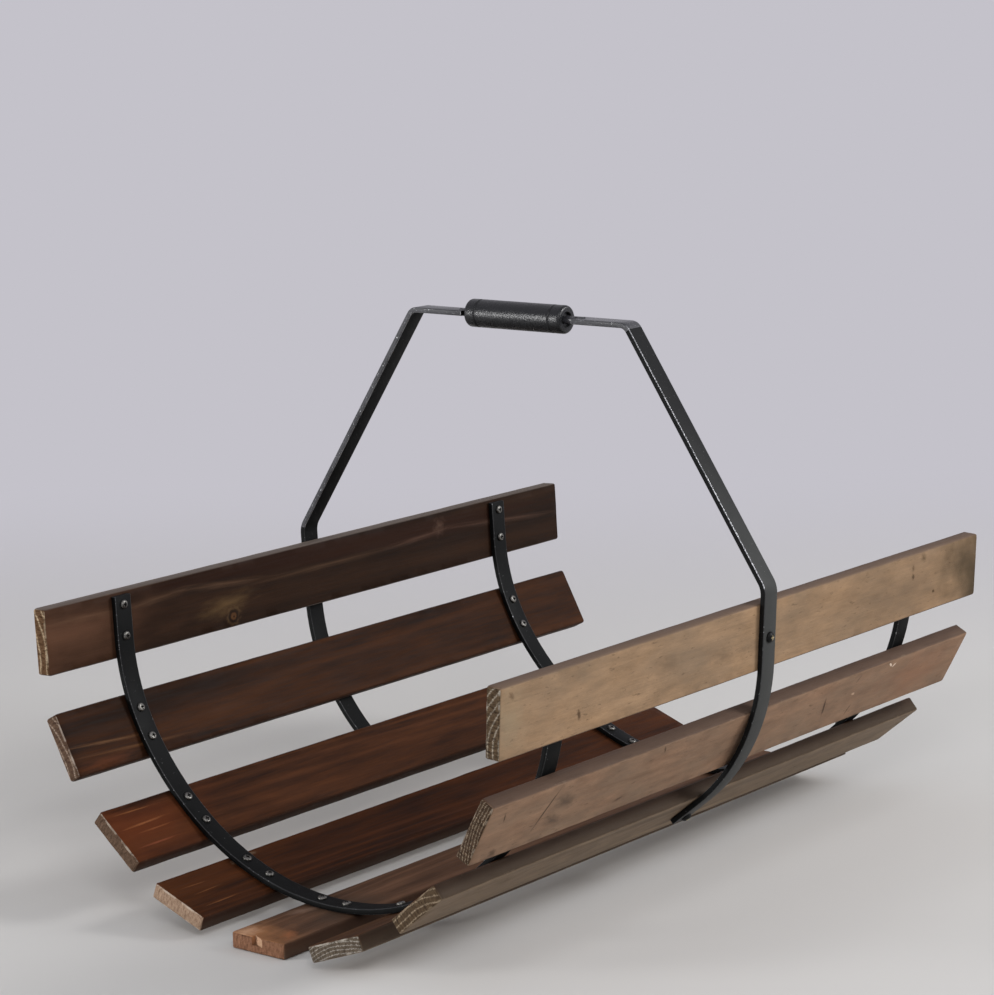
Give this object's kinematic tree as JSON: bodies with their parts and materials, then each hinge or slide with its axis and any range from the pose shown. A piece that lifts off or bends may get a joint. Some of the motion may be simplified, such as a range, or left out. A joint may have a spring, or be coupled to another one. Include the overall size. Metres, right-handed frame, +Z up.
{
  "type": "firewood rack",
  "caption": "Cradle-shaped firewood rack: dark-stained wooden slats screwed to bent flat-bar ribs, carried by a black flat-bar bow with a turning hand grip.",
  "frame": {"origin": "on the floor, under the middle of the bottom slat", "axes": "+X along the slats, +Y across the cradle towards its left side, +Z up"},
  "size_m": [0.6118, 0.4344, 0.412],
  "materials": {
    "stained_wood": "dark brown stain, matt",
    "black_bar": "satin black powder coat",
    "black_grip": "turned and painted satin black",
    "bright_screw": "bright zinc plate",
    "black_screw": "satin black"
  },
  "bodies": {
    "rack": {"bottom_slat": "stained_wood", "left_lower_slat": "stained_wood", "left_middle_slat": "stained_wood", "left_upper_slat": "stained_wood", "left_top_slat": "stained_wood", "right_lower_slat": "stained_wood", "right_middle_slat": "stained_wood", "right_upper_slat": "stained_wood", "right_top_slat": "stained_wood", "near_rib": "black_bar", "far_rib": "black_bar", "left_bow_arm": "black_bar", "right_bow_arm": "black_bar", "handle_rod": "black_bar", "bottom_slat_screws": "bright_screw", "left_lower_slat_screws": "bright_screw", "left_middle_slat_screws": "bright_screw", "left_upper_slat_screws": "bright_screw", "left_top_slat_screws": "bright_screw", "right_lower_slat_screws": "bright_screw", "right_middle_slat_screws": "bright_screw", "right_upper_slat_screws": "bright_screw", "right_top_slat_screws": "bright_screw", "left_bow_screws": "black_screw", "right_bow_screws": "black_screw"},
    "turning_grip": {"grip": "black_grip"}
  },
  "joints": [
    {"name": "grip_turn", "type": "hinge", "parent": "rack", "child": "turning_grip", "pos_m": [0.0045, 0, 0.4015], "axis": [0, 1, 0], "continuous": true}
  ]
}
